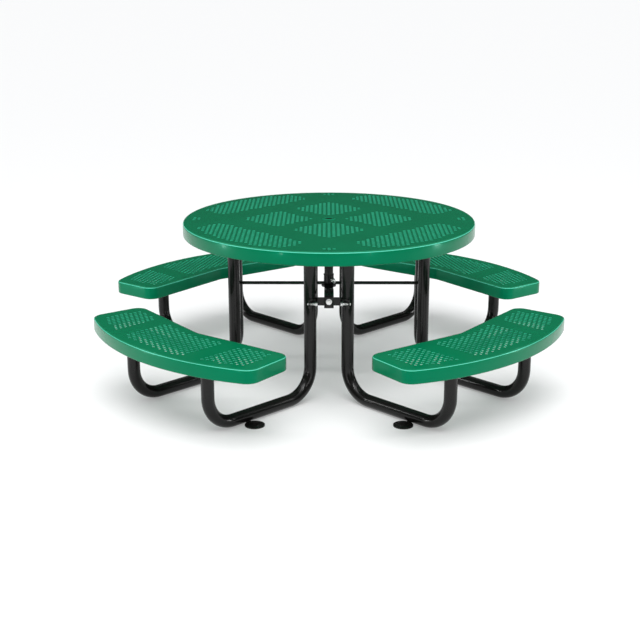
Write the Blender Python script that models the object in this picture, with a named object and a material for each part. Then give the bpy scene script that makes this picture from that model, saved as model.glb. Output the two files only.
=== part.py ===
"""Low round picnic table: a steel disc top and four curved bench seats on eight bent tube legs.

Metres, +Z up, origin on the ground under the middle of the top. The four seats sit on the
diagonals. Each seat stands on two parallel U-shaped tubes, whose inner ends carry the top.
"""

import math
from math import cos, pi, radians, sin, sqrt

import bmesh
import bpy
from mathutils import Matrix, Vector

# Driving dimensions
TOP_RADIUS = 0.584
TOP_HEIGHT = 0.630
TOP_APRON = 0.053
SHEET = 0.003
EDGE_RADIUS = 0.010
LIP = 0.014

SEAT_HEIGHT = 0.302
SEAT_APRON = 0.052
SEAT_INNER = 0.686  # from the table's axis to the knuckle of the inner edge
SEAT_OUTER = 0.955  # radius of the outer edge, about the table's axis
SEAT_BEND = radians(8.5)  # each half of the inner edge leans in by this much
SEAT_HALF_EDGE = 0.443
SEAT_EDGE_RADIUS = 0.008

TUBE_RADIUS = 0.0238
TUBE_WALL = 0.003
BEND_RADIUS = 0.112
PAIR_HALF_GAP = 0.071  # half the distance between the two upright tubes of a pair
PAIR_DISTANCE = 0.381  # from the table's axis to a pair
LEG_REACH = 0.506  # from the inner upright to the outer one

GAP = 0.0003  # clearance where two separate pieces touch

FOOT_RADIUS = 0.037
FOOT_THICKNESS = 0.005
FOOT_HOLE = 0.0055
FOOT_ALONG = 0.333
FOOT_HOLE_OUT = 0.020  # the hole sits this far outside the plate's middle
FOOT_HOLE_ALONG = 0.002

PLATE = 0.005
BAR_HEIGHT = 0.032
BAR_THICKNESS = 0.004
FRONT_BAR_MIDDLE = 0.3925
SIDE_BAR_MIDDLE = 0.3405
STRAP_WIDTH = 0.036
STRAP_THICKNESS = 0.005
SIDE_STRAP_TOP = 0.3665

UMBRELLA_BORE = 0.0155
UMBRELLA_TUBE_RADIUS = 0.018
SLEEVE_RADIUS = 0.0205
SLEEVE_TOP = 0.402
RING_RADIUS = 0.028

SCREW_RADIUS = 0.004
SCREW_HEIGHT = 0.381
SCREW_TRAVEL = 0.006
SCREW_SIDE = radians(-60)  # the clamp screw points to the front right

BOLT_RADIUS = 0.005

GREEN = (0.0, 0.17, 0.075)
BLACK = (0.012, 0.012, 0.013)
ZINC = (0.72, 0.73, 0.75)
NYLON = (0.02, 0.02, 0.02)

SEATS = {"front_right": -45, "rear_right": 45, "rear_left": 135, "front_left": -135}
SIDES = {"front": -90, "right": 0, "rear": 90, "left": 180}


def clear_scene():
    for obj in list(bpy.data.objects):
        bpy.data.objects.remove(obj, do_unlink=True)


def material(name, colour, roughness, metallic):
    made = bpy.data.materials.new(name)
    made.use_nodes = True
    shader = made.node_tree.nodes["Principled BSDF"]
    shader.inputs["Base Color"].default_value = (*colour, 1)
    shader.inputs["Roughness"].default_value = roughness
    shader.inputs["Metallic"].default_value = metallic
    made.diffuse_color = (*colour, 1)
    return made


def add_object(name, bm, finish, smooth=True):
    """Turns a finished bmesh into a named object with outward normals."""
    bmesh.ops.recalc_face_normals(bm, faces=bm.faces)
    mesh = bpy.data.meshes.new(name)
    bm.to_mesh(mesh)
    bm.free()
    mesh.materials.append(finish)
    if smooth:
        mesh.shade_smooth()
        mesh.set_sharp_from_angle(angle=radians(35))
    obj = bpy.data.objects.new(name, mesh)
    bpy.context.scene.collection.objects.link(obj)
    return obj


def turned(points, degrees):
    """Plan points turned about the table's axis."""
    c, s = cos(radians(degrees)), sin(radians(degrees))
    return [(c * x - s * y, s * x + c * y) for x, y in points]


def arc(centre, radius, start, end, steps):
    """Plan points along an arc, angles in radians."""
    angles = [start + (end - start) * i / steps for i in range(steps + 1)]
    return [(centre[0] + radius * cos(a), centre[1] + radius * sin(a)) for a in angles]


def rounded(corners, steps=5):
    """A closed outline from (x, y, radius) corners, with each corner as an arc."""
    outline = []
    for i, (x, y, radius) in enumerate(corners):
        here = Vector((x, y))
        if radius == 0:
            outline.append((x, y))
            continue
        before = (Vector(corners[i - 1][:2]) - here).normalized()
        after = (Vector(corners[(i + 1) % len(corners)][:2]) - here).normalized()
        half = before.angle(after) / 2
        centre = here + (before + after).normalized() * radius / sin(half)
        first = here + before * radius / math.tan(half) - centre
        last = here + after * radius / math.tan(half) - centre
        start = math.atan2(first.y, first.x)
        sweep = (math.atan2(last.y, last.x) - start + pi) % (2 * pi) - pi
        outline += arc(centre, radius, start, start + sweep, steps)
    return outline


def rectangle(middle, half, end, radius):
    """Rounded corners of a plate centred on (middle, 0), half deep and end long each way."""
    signs = ((-1, -1), (1, -1), (1, 1), (-1, 1))
    return [(middle + a * half, b * end, radius) for a, b in signs]


def prism(bm, outline, bottom, top, holes=()):
    """A flat plate from a plan outline, with round through holes as (x, y, radius)."""
    rims = []
    for height in (bottom, top):
        loops = [[bm.verts.new((x, y, height)) for x, y in outline]]
        for x, y, radius in holes:
            circle = arc((x, y), radius, 0, 2 * pi, 12)[:-1]
            loops.append([bm.verts.new((px, py, height)) for px, py in circle])
        edges = [bm.edges.new((loop[i - 1], loop[i])) for loop in loops for i in range(len(loop))]
        bmesh.ops.triangle_fill(bm, edges=edges, use_beauty=True)
        rims.append(loops)
    for low, high in zip(*rims):
        for i in range(len(low)):
            bm.faces.new((low[i - 1], low[i], high[i], high[i - 1]))


def lathe(bm, profile, segments, matrix=Matrix()):
    """A closed (radius, height) profile turned about Z, then placed by matrix."""
    rings = []
    for i in range(segments):
        angle = 2 * pi * i / segments
        points = [Vector((r * cos(angle), r * sin(angle), z)) for r, z in profile]
        rings.append([bm.verts.new(matrix @ point) for point in points])
    count = len(profile)
    for i in range(segments):
        for j in range(count):
            a, b = rings[i - 1][j], rings[i - 1][(j + 1) % count]
            c, d = rings[i][(j + 1) % count], rings[i][j]
            bm.faces.new((a, b, c, d))
    bmesh.ops.remove_doubles(bm, verts=bm.verts, dist=1e-6)


def spin_solid(bm, profile, segments, matrix=Matrix()):
    """A solid of revolution whose profile starts and ends on the axis."""
    start = bm.verts.new(matrix @ Vector((0, 0, profile[0][1])))
    end = bm.verts.new(matrix @ Vector((0, 0, profile[-1][1])))
    rings = []
    angles = [2 * pi * i / segments for i in range(segments)]
    for r, z in profile[1:-1]:
        points = [Vector((r * cos(a), r * sin(a), z)) for a in angles]
        rings.append([bm.verts.new(matrix @ point) for point in points])
    for i in range(segments):
        bm.faces.new((start, rings[0][i - 1], rings[0][i]))
        bm.faces.new((end, rings[-1][i], rings[-1][i - 1]))
        for low, high in zip(rings, rings[1:]):
            bm.faces.new((low[i - 1], high[i - 1], high[i], low[i]))


def sweep_tube(bm, path, radius, wall, sides):
    """An open-ended pipe along a path that lies in one upright plane."""
    count = len(path)
    across = (path[-1] - path[0]).cross(Vector((0, 0, 1))).normalized()
    skins = []
    for r in (radius, radius - wall):
        rings = []
        for i, point in enumerate(path):
            before = path[max(i - 1, 0)]
            after = path[min(i + 1, count - 1)]
            along = (after - before).normalized()
            if 0 < i < count - 1:
                turn = (path[i] - before).angle(after - path[i])
            else:
                turn = 0
            up = across.cross(along).normalized()
            stretch = 1 / cos(turn / 2)
            ring = []
            for k in range(sides):
                angle = 2 * pi * (k + 0.5) / sides
                offset = across * cos(angle) * r + up * sin(angle) * r * stretch
                ring.append(bm.verts.new(point + offset))
            rings.append(ring)
        for low, high in zip(rings, rings[1:]):
            for k in range(sides):
                bm.faces.new((low[k - 1], low[k], high[k], high[k - 1]))
        skins.append(rings)
    for end in (0, -1):
        outer, inner = skins[0][end], skins[1][end]
        for k in range(sides):
            bm.faces.new((outer[k - 1], outer[k], inner[k], inner[k - 1]))


def strip(bm, centre_line, thickness, place):
    """A bent flat bar: a line in 2D made this thick, then given width by place(point, side)."""
    points = [Vector(p) for p in centre_line]
    last = len(points) - 1
    left, right = [], []
    for i, point in enumerate(points):
        into = (point - points[i - 1]).normalized() if i else None
        out = (points[i + 1] - point).normalized() if i < last else None
        along = ((into or out) + (out or into)).normalized()
        normal = Vector((-along.y, along.x))
        reach = thickness / 2 / max(normal.dot(Vector((-(out or into).y, (out or into).x))), 0.3)
        left.append(point + normal * reach)
        right.append(point - normal * reach)
    outline = left + right[::-1]
    sides = [[bm.verts.new(place(p, side)) for p in outline] for side in (-1, 1)]
    total = len(outline)
    for i in range(total):
        a, b = sides[0][i - 1], sides[0][i]
        bm.faces.new((a, b, sides[1][i], sides[1][i - 1]))
    for verts in sides:
        for i in range(last):
            bm.faces.new((verts[i], verts[i + 1], verts[total - 2 - i], verts[total - 1 - i]))


def cut(obj, cutters):
    """Takes cutter meshes out of obj for good, with the exact solver."""
    for cutter in cutters:
        modifier = obj.modifiers.new("cut", "BOOLEAN")
        modifier.operation = "DIFFERENCE"
        modifier.solver = "EXACT"
        modifier.object = cutter
    graph = bpy.context.evaluated_depsgraph_get()
    mesh = bpy.data.meshes.new_from_object(obj.evaluated_get(graph))
    obj.modifiers.clear()
    obj.data = mesh
    mesh.name = obj.name
    mesh.shade_smooth()
    mesh.set_sharp_from_angle(angle=radians(35))
    for cutter in cutters:
        bpy.data.objects.remove(cutter, do_unlink=True)


def rod_cutter(centre, axis, radius, length, finish):
    bm = bmesh.new()
    matrix = Matrix.Translation(centre) @ Vector(axis).to_track_quat("Z", "Y").to_matrix().to_4x4()
    half = length / 2
    spin_solid(bm, [(0, -half), (radius, -half), (radius, half), (0, half)], 12, matrix)
    return add_object("cutter", bm, finish)


def pan_profile(radius, top, depth, corner):
    """Half-section of a folded pan's rim, from the middle of the sheet out, down and back."""
    middle = (radius - corner, top - corner)
    outer = arc(middle, corner, pi / 2, 0, 3)
    inner = arc(middle, corner - SHEET, 0, pi / 2, 1)
    low = top - depth
    under = [(radius, low), (radius - LIP, low)]
    lip = [(radius - LIP, low + SHEET), (radius - SHEET, low + SHEET)]
    return outer + under + lip + inner


def make_top(green):
    rim = pan_profile(TOP_RADIUS, TOP_HEIGHT, TOP_APRON, EDGE_RADIUS)
    hole = UMBRELLA_TUBE_RADIUS + GAP
    bm = bmesh.new()
    lathe(bm, [(hole, TOP_HEIGHT), *rim, (hole, TOP_HEIGHT - SHEET)], 64)
    return add_object("tabletop", bm, green)


def seat_outline(inset, steps):
    """Plan outline of a seat that faces +X, moved in from its edge by inset."""
    along = Vector((-sin(SEAT_BEND), cos(SEAT_BEND)))
    across = Vector((cos(SEAT_BEND), sin(SEAT_BEND)))
    inner = SEAT_INNER + inset / cos(SEAT_BEND)
    outer = SEAT_OUTER - inset
    corner = Vector((inner, 0)) + along * (SEAT_HALF_EDGE - inset - inset * math.tan(SEAT_BEND))
    reach = -corner.dot(across) + sqrt(corner.dot(across) ** 2 - corner.length_squared + outer**2)
    tip = corner + across * reach
    tip_angle = math.atan2(tip.y, tip.x)
    half = [(corner.x, corner.y, 0.045 - inset), (tip.x, tip.y, 0.05 - inset)]
    rim_angles = [tip_angle * (1 - 2 * i / steps) for i in range(1, steps)]
    rim = [(outer * cos(a), outer * sin(a), 0) for a in rim_angles]
    mirrored = [(x, -y, r) for x, y, r in half[::-1]]
    return rounded([(inner, 0, 0.08 + inset), *half, *rim, *mirrored], 4)


def make_seat(name, degrees, green):
    """A folded pan: matched outlines at each level, joined from the top down and back up inside."""
    top, low, corner = SEAT_HEIGHT, SEAT_HEIGHT - SEAT_APRON, SEAT_EDGE_RADIUS
    inside = corner - SHEET
    levels = [(corner * (1 - sin(a)), top - corner * (1 - cos(a))) for a in (0, pi / 4, pi / 2)]
    levels += [(0, low), (LIP, low), (LIP, low + SHEET), (SHEET, low + SHEET)]
    levels += [(corner - inside * sin(a), top - corner + inside * cos(a)) for a in (pi / 2, 0)]
    bm = bmesh.new()
    rings = []
    for inset, height in levels:
        rings.append([bm.verts.new((x, y, height)) for x, y in turned(seat_outline(inset, 10), degrees)])
    for upper, lower in zip(rings, rings[1:]):
        for i in range(len(upper)):
            bm.faces.new((upper[i - 1], upper[i], lower[i], lower[i - 1]))
    bm.faces.new(rings[0])
    bm.faces.new(rings[-1][::-1])
    bmesh.ops.triangulate(bm, faces=[f for f in bm.faces if len(f.verts) > 4])
    return add_object(name, bm, green)


def leg_path(side):
    """Centre line of one tube for a seat that faces +X, with side -1 or 1."""
    inner = (PAIR_DISTANCE + PAIR_HALF_GAP) / sqrt(2)
    across = side * (PAIR_DISTANCE - PAIR_HALF_GAP) / sqrt(2)
    outer = inner + LEG_REACH
    top_end = TOP_HEIGHT - SHEET - PLATE - 3 * GAP
    seat_end = SEAT_HEIGHT - SHEET - PLATE - 3 * GAP
    low = TUBE_RADIUS
    section = [(inner, top_end)]
    section += arc((inner + BEND_RADIUS, low + BEND_RADIUS), BEND_RADIUS, pi, 1.5 * pi, 5)
    section += arc((outer - BEND_RADIUS, low + BEND_RADIUS), BEND_RADIUS, 1.5 * pi, 2 * pi, 5)
    section.append((outer, seat_end))
    return [(d, across, z) for d, z in section]


def make_leg(name, degrees, side, black):
    turn = Matrix.Rotation(radians(degrees), 3, "Z")
    bm = bmesh.new()
    sweep_tube(bm, [turn @ Vector(p) for p in leg_path(side)], TUBE_RADIUS, TUBE_WALL, 12)
    return add_object(name, bm, black)


def make_foot(name, degrees, side, black):
    """A round anchor plate welded to the outer flank of the leg's ground run."""
    inner = (PAIR_DISTANCE + PAIR_HALF_GAP) / sqrt(2)
    across = (PAIR_DISTANCE - PAIR_HALF_GAP) / sqrt(2)
    flank = sqrt(TUBE_RADIUS**2 - (TUBE_RADIUS - FOOT_THICKNESS) ** 2) + GAP
    d = inner + FOOT_ALONG
    lateral = across + flank + FOOT_RADIUS
    hole = lateral + FOOT_HOLE_OUT
    outline = [(d + x, side * (lateral + y)) for x, y in arc((0, 0), FOOT_RADIUS, 0, 2 * pi, 24)[:-1]]
    bm = bmesh.new()
    (hx, hy), = turned([(d + FOOT_HOLE_ALONG, side * hole)], degrees)
    prism(bm, turned(outline, degrees), 0, FOOT_THICKNESS, [(hx, hy, FOOT_HOLE)])
    return add_object(name, bm, black)


def make_seat_crossbar(name, degrees, black):
    """The flat bar under a seat that joins the tops of its two tubes."""
    outer = (PAIR_DISTANCE + PAIR_HALF_GAP) / sqrt(2) + LEG_REACH
    across = (PAIR_DISTANCE - PAIR_HALF_GAP) / sqrt(2)
    top = SEAT_HEIGHT - SHEET - GAP
    half = 0.034
    end = across + 0.032
    corners = rectangle(outer, half, end, 0.014)
    (hx, hy), = turned([(outer, 0)], degrees)
    bm = bmesh.new()
    prism(bm, turned(rounded(corners, 4), degrees), top - PLATE, top, [(hx, hy, BOLT_RADIUS + GAP)])
    return add_object(name, bm, black)


def make_top_plate(name, degrees, black):
    """The flat plate under the top that joins the ends of a pair of upright tubes."""
    top = TOP_HEIGHT - SHEET - GAP
    half = 0.036
    end = PAIR_HALF_GAP + 0.034
    d = PAIR_DISTANCE
    corners = rectangle(d, half, end, 0.016)
    (hx, hy), = turned([(d, 0)], degrees)
    bm = bmesh.new()
    prism(bm, turned(rounded(corners, 4), degrees), top - PLATE, top, [(hx, hy, BOLT_RADIUS + GAP)])
    return add_object(name, bm, black)


def pair_bar_middle(degrees):
    return FRONT_BAR_MIDDLE if degrees in (-90, 90) else SIDE_BAR_MIDDLE


def wing_radius():
    return TUBE_RADIUS + GAP + BAR_THICKNESS / 2


def pinch_bolt_out():
    """How far outside the pair's plane the two pinch bolts of a pair run."""
    return TUBE_RADIUS + BAR_THICKNESS + GAP + 0.0095


def make_pair_bar(name, degrees, black):
    """A flat bar between a pair of uprights. The front and rear bars wrap round the outer face
    of each tube and turn out as ears with a pinch bolt. The side bars are straight."""
    radius = wing_radius()
    out = PAIR_DISTANCE
    wrapped = degrees in (-90, 90)
    if wrapped:
        start = math.asin(-0.12)
        wing = arc((0, 0), radius, start, pi / 2, 6)
        ear = (pinch_bolt_out() + 0.008, wing[0][1])
        half = [(out + x, -PAIR_HALF_GAP + y) for x, y in [ear, *wing]]
    else:
        half = [(out, TUBE_RADIUS + GAP - PAIR_HALF_GAP)]
    mirrored = [(x, -y) for x, y in half[::-1]]
    middle = pair_bar_middle(degrees)
    low, high = middle - BAR_HEIGHT / 2, middle + BAR_HEIGHT / 2
    turn = Matrix.Rotation(radians(degrees), 3, "Z")
    bm = bmesh.new()
    levels = {-1: low, 1: high}
    strip(bm, half + mirrored, BAR_THICKNESS, lambda p, side: turn @ Vector((p.x, p.y, levels[side])))
    bar = add_object(name, bm, black)
    cutters = []
    outward = turn @ Vector((1, 0, 0))
    for side in (-1, 1) if wrapped else ():
        centre = turn @ Vector((out + pinch_bolt_out(), side * PAIR_HALF_GAP, middle))
        cutters.append(rod_cutter(centre, turn @ Vector((0, 1, 0)), BOLT_RADIUS + GAP, 0.03, black))
    centre = turn @ Vector((out, 0, middle))
    cutters.append(rod_cutter(centre, outward, BOLT_RADIUS + GAP, 0.03, black))
    cut(bar, cutters)
    return bar


def hex_bolt(name, head_at, axis, length, zinc, head=0.0085, washer=0.0115):
    """A hex bolt with its washer, head outside head_at and shank running along axis."""
    direction = Vector(axis).normalized()
    matrix = Matrix.Translation(head_at) @ direction.to_track_quat("Z", "Y").to_matrix().to_4x4()
    bm = bmesh.new()
    r = BOLT_RADIUS
    profile = [(0, -0.0085), (head, -0.0085), (head, -0.002), (washer, -0.002), (washer, 0)]
    profile += [(r, 0), (r, length), (0, length)]
    spin_solid(bm, profile, 10, matrix)
    return add_object(name, bm, zinc)


def brace_section(front):
    """Half of a strap from the hub out, as (distance, height), with the tab turned down."""
    top = SIDE_STRAP_TOP
    half = STRAP_THICKNESS / 2
    tab = PAIR_DISTANCE + BAR_THICKNESS / 2 + GAP + half
    bend = 0.006
    if not front:
        level = top - half
        low = SIDE_BAR_MIDDLE - 0.020
        turn = arc((tab - bend, level - bend), bend, pi / 2, 0, 4)
        return [(0, level), *turn, (tab, low)]
    level = top - STRAP_THICKNESS - GAP - half
    high = FRONT_BAR_MIDDLE + BAR_HEIGHT / 2 + 0.003 + half
    low = FRONT_BAR_MIDDLE - 0.025
    turn = arc((tab - bend, high - bend), bend, pi / 2, 0, 4)
    return [(0, level), (0.075, level), (0.30, high), *turn, (tab, low)]


def make_brace(name, degrees, front, black):
    """A flat strap through the middle, bolted by its turned-down ends to two pair bars."""
    half = brace_section(front)
    line = [(-d, z) for d, z in half[:0:-1]] + half
    turn = Matrix.Rotation(radians(degrees), 3, "Z")
    edge = STRAP_WIDTH / 2
    bm = bmesh.new()
    strip(bm, line, STRAP_THICKNESS, lambda p, side: turn @ Vector((p.x, side * edge, p.y)))
    brace = add_object(name, bm, black)
    middle = pair_bar_middle(degrees)
    outward = turn @ Vector((1, 0, 0))
    cutters = []
    for side in (-1, 1):
        centre = turn @ Vector((side * PAIR_DISTANCE, 0, middle))
        cutters.append(rod_cutter(centre, outward, BOLT_RADIUS + GAP, 0.04, black))
    cut(brace, cutters)
    return brace


def make_hub_disc(black):
    """The round pad welded between the two straps' crossing and the strap below it."""
    level = SIDE_STRAP_TOP - 2 * STRAP_THICKNESS - 3 * GAP
    bm = bmesh.new()
    profile = [(0, level - 0.004), (0.030, level - 0.004), (0.030, level), (0, level)]
    spin_solid(bm, profile, 24)
    return add_object("hub_disc", bm, black)


def toward_screw():
    """The turn about the table's axis that brings +X round to the clamp screw."""
    return Matrix.Rotation(SCREW_SIDE, 4, "Z")


def make_sleeve(black):
    """The umbrella holder: a thick socket that stands on the crossing straps."""
    low = SIDE_STRAP_TOP + GAP
    lip = SLEEVE_TOP - 0.006
    wide = UMBRELLA_TUBE_RADIUS + GAP
    bm = bmesh.new()
    neck = SLEEVE_TOP - 0.004
    collar = SLEEVE_RADIUS + 0.001
    outer = [(SLEEVE_RADIUS, low), (SLEEVE_RADIUS, neck), (collar, neck), (collar, SLEEVE_TOP)]
    inner = [(wide, SLEEVE_TOP), (wide, lip), (UMBRELLA_BORE, lip)]
    lathe(bm, [(UMBRELLA_BORE, low), *outer, *inner], 24)
    sleeve = add_object("umbrella_sleeve", bm, black)
    middle = toward_screw() @ Vector((UMBRELLA_BORE + 0.004, 0, SCREW_HEIGHT))
    outward = toward_screw() @ Vector((1, 0, 0))
    hole = rod_cutter(middle, outward, SCREW_RADIUS + GAP, 0.016, black)
    cut(sleeve, [hole])
    return sleeve


def make_umbrella_tube(black):
    """The guide tube from the hole in the top down into the sleeve, with a ring on the top."""
    top = TOP_HEIGHT + GAP
    r = UMBRELLA_TUBE_RADIUS
    low = SLEEVE_TOP - 0.006 + GAP
    crest = top + 0.0025
    ring = [(RING_RADIUS, top), (RING_RADIUS - 0.0015, crest), (UMBRELLA_BORE + 0.001, crest)]
    bore = [(UMBRELLA_BORE, top + 0.0015), (UMBRELLA_BORE, low)]
    bm = bmesh.new()
    lathe(bm, [(r, low), (r, top), *ring, *bore], 24)
    return add_object("umbrella_tube", bm, black)


def make_pressure_pad(nylon):
    """The tip that the clamp screw pushes against the umbrella pole."""
    bm = bmesh.new()
    start = UMBRELLA_BORE + 0.0004
    place = toward_screw() @ Matrix.Translation((start, 0, SCREW_HEIGHT))
    matrix = place @ Matrix.Rotation(pi / 2, 4, "Y")
    r = SCREW_RADIUS - 0.0003
    spin_solid(bm, [(0, 0), (r - 0.0005, 0), (r, 0.0005), (r, 0.0025), (0, 0.0025)], 16, matrix)
    return add_object("pressure_pad", bm, nylon)


def make_clamp_screw(zinc):
    """Shank and eye of the clamp screw, turned by hand. The eye stands upright at rest."""
    start = UMBRELLA_BORE + 0.0004 + 0.0025 + GAP
    collar = SLEEVE_RADIUS + 0.001 + SCREW_TRAVEL + 0.001
    place = toward_screw() @ Matrix.Translation((start, 0, SCREW_HEIGHT))
    matrix = place @ Matrix.Rotation(pi / 2, 4, "Y")
    r = SCREW_RADIUS
    length = collar - start
    eye, rod = 0.0085, 0.0026
    bm = bmesh.new()
    shoulder = [(0.0055, length), (0.0055, length + 0.003)]
    spin_solid(bm, [(0, 0), (r, 0), (r, length), *shoulder, (0, length + 0.003)], 16, matrix)
    screw = add_object("clamp_screw", bm, zinc)
    bm = bmesh.new()
    centre = Matrix.Translation((collar + 0.0028 + eye, 0, SCREW_HEIGHT))
    section = [(eye + rod * cos(a), rod * sin(a)) for a in (2 * pi * i / 8 for i in range(8))]
    lathe(bm, section, 16, toward_screw() @ centre @ Matrix.Rotation(pi / 2, 4, "X"))
    ring = add_object("eye", bm, zinc)
    modifier = screw.modifiers.new("join", "BOOLEAN")
    modifier.operation = "UNION"
    modifier.solver = "EXACT"
    modifier.object = ring
    graph = bpy.context.evaluated_depsgraph_get()
    mesh = bpy.data.meshes.new_from_object(screw.evaluated_get(graph))
    screw.modifiers.clear()
    origin = place.to_translation()
    mesh.transform(Matrix.Translation(-origin))
    screw.data = mesh
    screw.location = origin
    mesh.shade_smooth()
    mesh.set_sharp_from_angle(angle=radians(35))
    bpy.data.objects.remove(ring, do_unlink=True)
    return screw


def make_bolts(zinc):
    for side_name, degrees in SIDES.items():
        turn = Matrix.Rotation(radians(degrees), 3, "Z")
        middle = pair_bar_middle(degrees)
        face = turn @ Vector((PAIR_DISTANCE + BAR_THICKNESS / 2 + STRAP_THICKNESS + 3 * GAP, 0, middle))
        hex_bolt(f"brace_bolt_{side_name}", face, turn @ Vector((-1, 0, 0)), 0.022, zinc)
        out = PAIR_DISTANCE + pinch_bolt_out()
        hands = (("a", -1), ("b", 1)) if degrees in (-90, 90) else ()
        for hand, sign in hands:
            inner = PAIR_HALF_GAP - 0.020
            head_at = turn @ Vector((out, sign * inner, middle))
            axis = turn @ Vector((0, sign, 0))
            name = f"pinch_bolt_{side_name}_{hand}"
            hex_bolt(name, head_at, axis, 0.030, zinc, head=0.0075, washer=0.008)
        top = TOP_HEIGHT - SHEET - PLATE - 2 * GAP
        at = turn @ Vector((PAIR_DISTANCE, 0, top))
        hex_bolt(f"top_bolt_{side_name}", at, (0, 0, 1), PLATE, zinc)
    outer = (PAIR_DISTANCE + PAIR_HALF_GAP) / sqrt(2) + LEG_REACH
    for seat_name, degrees in SEATS.items():
        turn = Matrix.Rotation(radians(degrees), 3, "Z")
        at = turn @ Vector((outer, 0, SEAT_HEIGHT - SHEET - PLATE - 2 * GAP))
        hex_bolt(f"seat_bolt_{seat_name}", at, (0, 0, 1), PLATE, zinc)


def main():
    clear_scene()
    green = material("green_coating", GREEN, 0.35, 0.0)
    black = material("black_powder_coat", BLACK, 0.28, 0.0)
    zinc = material("bright_zinc", ZINC, 0.25, 1.0)
    nylon = material("black_nylon", NYLON, 0.5, 0.0)
    make_top(green)
    for name, degrees in SEATS.items():
        make_seat(f"seat_{name}", degrees, green)
        make_seat_crossbar(f"seat_crossbar_{name}", degrees, black)
        for hand, side in (("a", -1), ("b", 1)):
            make_leg(f"leg_{name}_{hand}", degrees, side, black)
            make_foot(f"foot_plate_{name}_{hand}", degrees, side, black)
    for name, degrees in SIDES.items():
        make_top_plate(f"top_plate_{name}", degrees, black)
        make_pair_bar(f"pair_bar_{name}", degrees, black)
    make_brace("brace_left_right", 0, False, black)
    make_brace("brace_front_rear", 90, True, black)
    make_hub_disc(black)
    make_sleeve(black)
    make_umbrella_tube(black)
    make_pressure_pad(nylon)
    make_clamp_screw(zinc)
    make_bolts(zinc)


main()
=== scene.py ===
"""Looks for the low round picnic table: detailed pieces, finishes, light and camera.

Every piece is built in the row frame, in metres, and rides on the body it belongs to.
"""

import math
from math import cos, pi, radians, sin, sqrt

import bmesh
import bpy
from mathutils import Matrix, Vector
from mathutils.geometry import delaunay_2d_cdt


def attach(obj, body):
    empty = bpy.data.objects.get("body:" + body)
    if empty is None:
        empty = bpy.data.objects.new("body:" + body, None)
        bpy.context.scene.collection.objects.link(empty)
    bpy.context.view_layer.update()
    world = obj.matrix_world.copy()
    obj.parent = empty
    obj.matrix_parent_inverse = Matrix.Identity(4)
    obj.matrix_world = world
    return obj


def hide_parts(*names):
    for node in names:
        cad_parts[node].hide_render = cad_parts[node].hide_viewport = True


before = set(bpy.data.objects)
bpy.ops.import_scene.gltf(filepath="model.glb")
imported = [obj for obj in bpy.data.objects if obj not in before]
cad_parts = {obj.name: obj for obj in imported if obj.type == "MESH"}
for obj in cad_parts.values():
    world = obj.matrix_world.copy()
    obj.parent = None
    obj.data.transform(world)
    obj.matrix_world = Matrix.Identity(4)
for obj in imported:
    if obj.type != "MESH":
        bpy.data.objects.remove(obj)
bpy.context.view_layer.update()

# Sizes shared with the CAD
TOP_RADIUS = 0.584
TOP_HEIGHT = 0.630
TOP_APRON = 0.053
SHEET = 0.003
EDGE_RADIUS = 0.010
FOLD_STEPS = 6
# Strips of the rounded fold painted a paler green, as a painted highlight line along the rims
PAINTED_HIGHLIGHT_STRIPS = (3,)
LIP = 0.014
SEAT_HEIGHT = 0.302
SEAT_APRON = 0.052
SEAT_INNER = 0.686
SEAT_OUTER = 0.955
SEAT_BEND = radians(8.5)
SEAT_HALF_EDGE = 0.440
SEAT_CORNERS = (0.08, 0.045, 0.05)
SEAT_EDGE_RADIUS = 0.008
TUBE_RADIUS = 0.0238
BEND_RADIUS = 0.112
PAIR_HALF_GAP = 0.071
PAIR_DISTANCE = 0.381
LEG_REACH = 0.506
GAP = 0.0003
FOOT_RADIUS = 0.037
FOOT_THICKNESS = 0.005
FOOT_HOLE = 0.0055
FOOT_HOLE_ALONG = 0.002
FOOT_HOLE_OUT = 0.020
FOOT_ALONG = 0.333
PLATE = 0.005
BAR_HEIGHT = 0.032
BAR_THICKNESS = 0.004
FRONT_BAR_MIDDLE = 0.3925
SIDE_BAR_MIDDLE = 0.3405
STRAP_WIDTH = 0.036
STRAP_THICKNESS = 0.005
SIDE_STRAP_TOP = 0.3665
UMBRELLA_BORE = 0.0155
UMBRELLA_TUBE_RADIUS = 0.018
SLEEVE_RADIUS = 0.0205
SLEEVE_TOP = 0.402
RING_RADIUS = 0.028
SCREW_RADIUS = 0.004
SCREW_HEIGHT = 0.381
SCREW_TRAVEL = 0.006
PAD_LENGTH = 0.0025
THREAD_PITCH = 0.00125
SCREW_SIDE = Matrix.Rotation(radians(-60), 4, "Z")
BOLT_RADIUS = 0.005

SEATS = {"front_right": -45, "rear_right": 45, "rear_left": 135, "front_left": -135}
SIDES = {"front": -90, "right": 0, "rear": 90, "left": 180}

# Perforation: round holes in columns, each column half a step from its neighbours
COLUMN_STEP = 0.018
HOLE_STEP = 0.0208
HOLE_RADIUS = 0.0050
HOLE_LIP = 0.0012
HOLE_TURN = 0.2
CENTRE_SIDES = 48
CELL_CORNER = 0.022
TOP_OPEN_RADIUS = 0.541
MIDDLE_CELL = (0.1445, 0.1445)
MIDDLE_CELL_HALF = (0.1055, 0.1055)
SIDE_CELL = 0.60
SIDE_CELL_HALF = (0.238, 0.245)
RIM_CELL_START = 0.357
SEAT_BORDER = 0.040
SEAT_BAND = (0.176, 0.246)

FLOOR_HALF = 400
FLOOR_LEVEL = -0.0005
CAMERA_AT = (-0.010, -4.642, 1.596)
CAMERA_LENS = 66.15

INNER = (PAIR_DISTANCE + PAIR_HALF_GAP) / sqrt(2)
ACROSS = (PAIR_DISTANCE - PAIR_HALF_GAP) / sqrt(2)
OUTER = INNER + LEG_REACH


# ---------------------------------------------------------------- finishes


def new_material(name):
    made = bpy.data.materials.new(name)
    made.use_nodes = True
    nodes, links = made.node_tree.nodes, made.node_tree.links
    shader = nodes["Principled BSDF"]
    where = nodes.new("ShaderNodeTexCoord").outputs["Object"]
    return made, nodes, links, shader, where


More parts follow.
